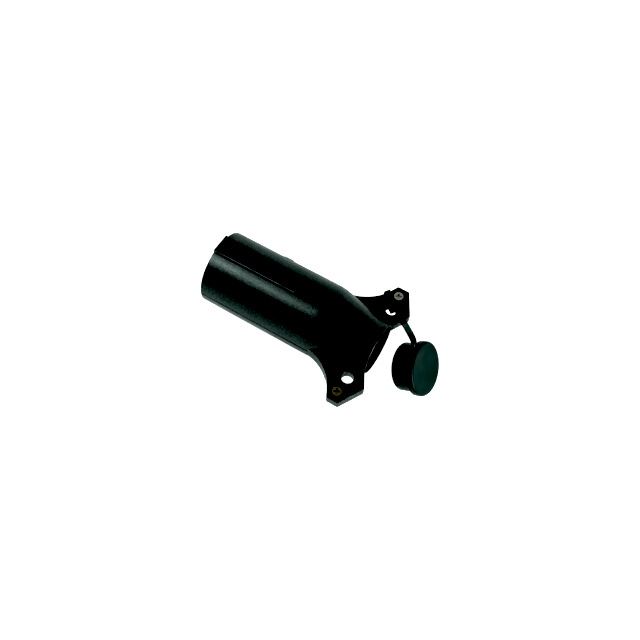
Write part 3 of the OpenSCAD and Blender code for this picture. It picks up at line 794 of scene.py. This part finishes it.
def loopPath():
    # centre line of the band round the ear, from under the strap up over its back and on to the first cut
    lateral = (liftAt - tiedHole).dot(across)
    height, back, bend = liftAt.z, strap["backReach"], strap["backRadius"]
    flatPath = roundedPath([(strap["underFrom"], -height), (back, -height), (back, height),
                            (strap["overFrom"], height)], [0, bend, bend, 0], 8)
    places = [tiedHole + along * p.x + across * lateral + Vector((0, 0, p.y)) for p in flatPath]
    straight = (liftAt - places[-1]).length
    stretch = [places[-1] + along * straight * k / 8 for k in range(1, 9)]
    stretch += [liftAt + along * strap["flat"] * k / 10 for k in range(1, 10)]
    return places + stretch


def tightenBack(band):
    # the band is stretched where it turns round the ear
    reach, share = strap["backThin"]
    for vertex in band.data.vertices:
        beyond = (vertex.co / mm - tiedHole).dot(along) - reach
        if beyond < 0:
            vertex.co -= along * beyond * (1 - share) * mm


def archPath(start, end, steps):
    return [start + (end - start) * k / steps for k in range(steps + 1)]


loopPlaces = loopPath()
nearStretch = archPath(0.0, strap["nearCut"], 6)
earBand = ribbon("earBand", loopPlaces + [archPoint(t) for t in nearStretch],
                 [across] * len(loopPlaces) + [archSide(t) for t in nearStretch],
                 strap["width"], strap["thickness"])
topBite, footBite = strap["postBite"]
postTop = liftAt.z - strap["thickness"] / 2 + topBite
postPlace = tiedHole + along * strap["postAt"][0] + across * strap["postAt"][1]
postHeights = [-postTop - footBite + (2 * postTop + footBite) * k / 8 for k in range(9)]
post = ribbon("post", [postPlace + Vector((0, 0, z)) for z in postHeights], [across] * 9,
              strap["postWidth"], strap["postThickness"])
combine(earBand, post, "UNION")
tightenBack(earBand)
middleStretch = archPath(strap["nearCut"], strap["farCut"], 24)
middleBand = ribbon("middleBand", [archPoint(t) for t in middleStretch],
                    [archSide(t) for t in middleStretch], strap["width"], strap["thickness"])
lastStretch = archPath(strap["farCut"], 1.0, 14)
tab = [flexAt - tabOut * depth for depth in strap["tabDepths"]]
plugBand = ribbon("plugBand", [archPoint(t) for t in lastStretch] + tab,
                  [archSide(t) for t in lastStretch] + [tabSide] * len(tab),
                  strap["width"], strap["thickness"])
for piece in (earBand, middleBand, plugBand):
    softShading(piece, 40)
    dress(piece, "tether_rubber")
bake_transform(earBand)
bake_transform(middleBand)
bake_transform(plugBand)
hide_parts("tether_loop")
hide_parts("tether_inner")
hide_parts("tether_outer")
print("tether: three bands")


# ---- dust plug ----

def makeDustPlug():
    flange, body, wall = plug["flangeRadius"], plug["bodyRadius"], plug["wall"]
    back, floor = -plug["length"], -plug["flange"] - plug["floorPast"]
    dish = [(-plug["dish"] * (1 - share * share), flange * share) for share in (0, 0.25, 0.5, 0.75)]
    corners = dish + [(0, flange), (-plug["flange"], flange), (-plug["flange"], body), (back, body),
                      (back, body - wall), (floor, body - wall), (floor, 0)]
    profile = roundedPath(corners, [0] * len(dish) + plug["corners"], 6)
    piece = placed(turnedAbout("dustPlug", profile), Matrix.Translation(plug["face"]) @ plugTurn.to_4x4())
    softShading(piece, 40)
    return dress(piece, "plug_rubber")


dustPlug = makeDustPlug()
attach(dustPlug, "plug")
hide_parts("dust_plug")
print("dust plug ready")


# ---- carried-over nodes ----

slotOf = {part["node"]: part["material_slot"] for part in frame["record"]["subparts"]}
for nodeName, node in frame["nodes"].items():
    node.data.materials.clear()
    node.data.materials.append(finishes[slotOf[nodeName]])


# ---- stage, light and camera ----

studio = {
    "floorRadius": 2500.0, "wallHeight": 1500.0, "cove": 600.0, "drop": 0.05,
    "floorTint": "#ffffff", "glow": 0.03, "whiteout": 1.1, "toe": 0.05,
    "worldTint": (0.9, 1.0, 0.98, 1), "worldPower": 0.24,
    "lampTint": "#e4fff8",
    "camera": {"eye": (170.8, -202.8, 378.4), "heading": 26.69, "down": 59.155, "roll": 4.77,
               "lens": 42.65},
}
softboxes = {      # place, size, watts and the point that each one faces
    "overheadSoftbox": ((-300, -240, 600), (260, 90), 3.1, (40, 0, 0)),
    "sideSoftbox": ((500, 300, 700), (300, 300), 0.6, (60, 0, 0)),
    "mouthSoftbox": ((700, -250, 50), (120, 900), 13.0, (100, 0, 0)),
    "backSoftbox": ((-100, 900, 190), (1600, 220), 1.4, (60, 0, 0)),
}


def sweepStage():
    # a round table that sweeps up into a low wall
    level, reach = nodeBox("lower_shell")[0].z - studio["drop"], studio["floorRadius"]
    profile = roundedPath([(level, 0), (level, reach), (level + studio["wallHeight"], reach)],
                          [0, studio["cove"], 0], 12)
    steps = 96
    points = [(0, 0, level)]
    for z, radius in profile[1:]:
        points += [(radius * math.cos(math.tau * k / steps), radius * math.sin(math.tau * k / steps), z)
                   for k in range(steps)]
    faces = [(0, 1 + k, 1 + (k + 1) % steps) for k in range(steps)]
    for ring in range(len(profile) - 2):
        base = 1 + ring * steps
        faces += [(base + k, base + steps + k, base + steps + (k + 1) % steps, base + (k + 1) % steps)
                  for k in range(steps)]
    stage = newPiece("paleSweep", points, faces)
    stage.data.shade_smooth()
    material, tree, shader = newMaterial("whiteBackdropPaper", {
        "Base Color": linearColour(studio["floorTint"]), "Roughness": 0.9, "Specular IOR Level": 0.0,
        "Emission Color": (1, 1, 1, 1)})
    # white to look at, dim in reflections
    seen = addNode(tree, "ShaderNodeLightPath").outputs["Is Camera Ray"]
    glow = addNode(tree, "ShaderNodeMapRange", {"To Min": studio["glow"], "To Max": studio["whiteout"]},
                   {0: seen})
    tree.links.new(glow.outputs["Result"], shader.inputs["Emission Strength"])
    stage.data.materials.append(material)


def softbox(name, place, size, power, aim):
    lamp = bpy.data.lights.new(name, "AREA")
    lamp.shape = "RECTANGLE"
    lamp.size, lamp.size_y = size[0] * mm, size[1] * mm
    lamp.energy = power
    lamp.color = linearColour(studio["lampTint"])[:3]
    lampObject = bpy.data.objects.new(name, lamp)
    bpy.context.scene.collection.objects.link(lampObject)
    # the first size lies as near to the barrel's direction as the aim lets it, the second across that
    back = (Vector(place) - Vector(aim)).normalized()
    sideways = (Vector((1, 0, 0)) - back * back.x).normalized()
    turn = Matrix((sideways, back.cross(sideways), back)).transposed().to_4x4()
    lampObject.matrix_world = Matrix.Translation(Vector(place) * mm) @ turn


sweepStage()
for name, settings in softboxes.items():
    softbox(name, *settings)
world = bpy.data.worlds.new("dimStudio")
world.use_nodes = True
world.node_tree.nodes["Background"].inputs["Color"].default_value = studio["worldTint"]
world.node_tree.nodes["Background"].inputs["Strength"].default_value = studio["worldPower"]
bpy.context.scene.world = world

view = studio["camera"]
lens = bpy.data.cameras.new("productCamera")
lens.lens = view["lens"]
lens.sensor_width = 36
lens.clip_start = 0.01
cameraObject = bpy.data.objects.new("productCamera", lens)
bpy.context.scene.collection.objects.link(cameraObject)
cameraObject.matrix_world = (Matrix.Translation(Vector(view["eye"]) * mm)
                             @ Matrix.Rotation(math.radians(view["heading"]), 4, "Z")
                             @ Matrix.Rotation(math.radians(90 - view["down"]), 4, "X")
                             @ Matrix.Rotation(math.radians(view["roll"]), 4, "Z"))
bpy.context.scene.camera = cameraObject
tone = bpy.context.scene.view_settings
tone.view_transform = "Standard"
tone.use_curve_mapping = True
tone.curve_mapping.black_level = (studio["toe"],) * 3    # deep blacks, as in a levels adjustment
tone.curve_mapping.update()
print("stage ready")
